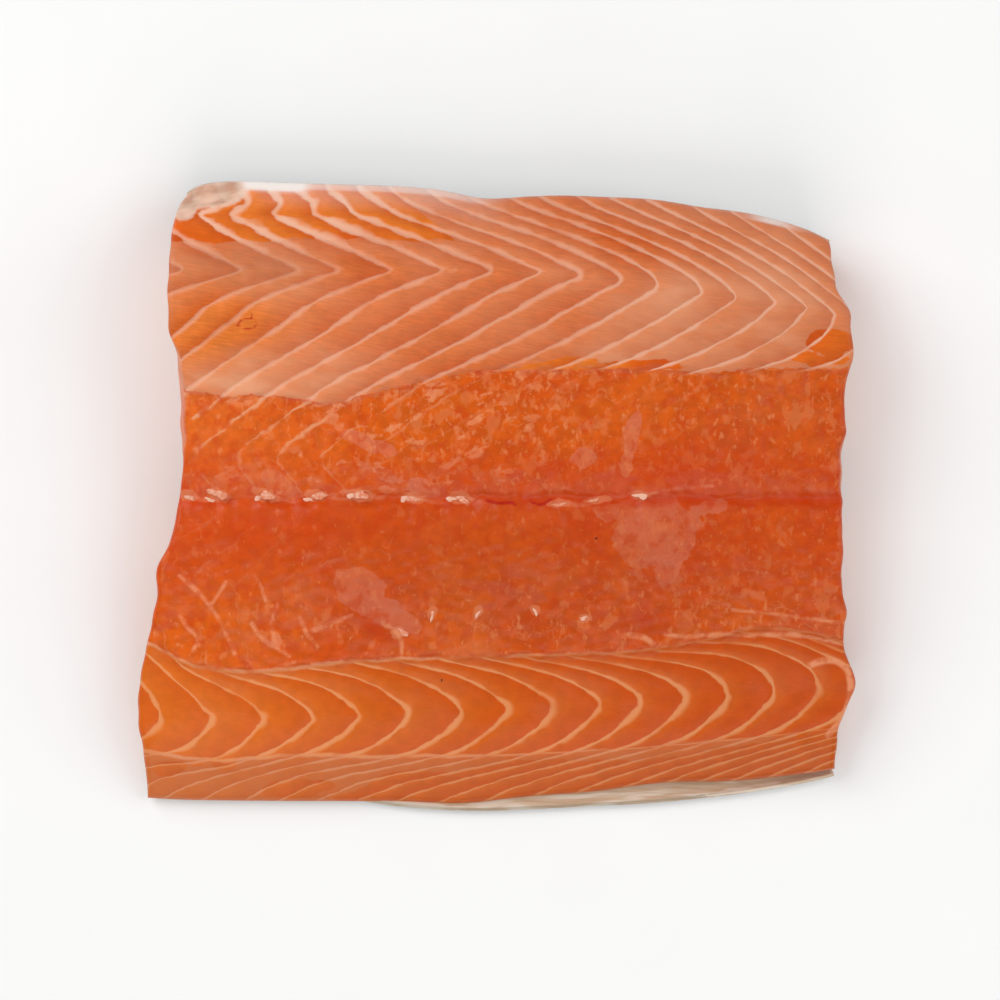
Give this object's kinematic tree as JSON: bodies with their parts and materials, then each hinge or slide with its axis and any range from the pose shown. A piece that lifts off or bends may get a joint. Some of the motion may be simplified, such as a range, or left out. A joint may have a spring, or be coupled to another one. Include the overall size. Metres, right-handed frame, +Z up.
{
  "type": "raw salmon fillet",
  "caption": "Thick piece of raw salmon fillet cut across a whole side, lying skin down, with a high back edge, a thin belly edge and a shallow groove along the middle.",
  "frame": {"origin": "middle of the bottom of the piece, on the surface that the skin rests on", "axes": "+X along the fish from the head end cut to the tail end cut, +Y across it from the belly edge to the back edge, +Z up out of the cut flesh"},
  "size_m": [0.1722, 0.1504, 0.0297],
  "materials": {
    "flesh": "moist orange salmon flesh with pale layers, satin wet sheen"
  },
  "bodies": {
    "root": {"fillet": "flesh"}
  },
  "joints": []
}
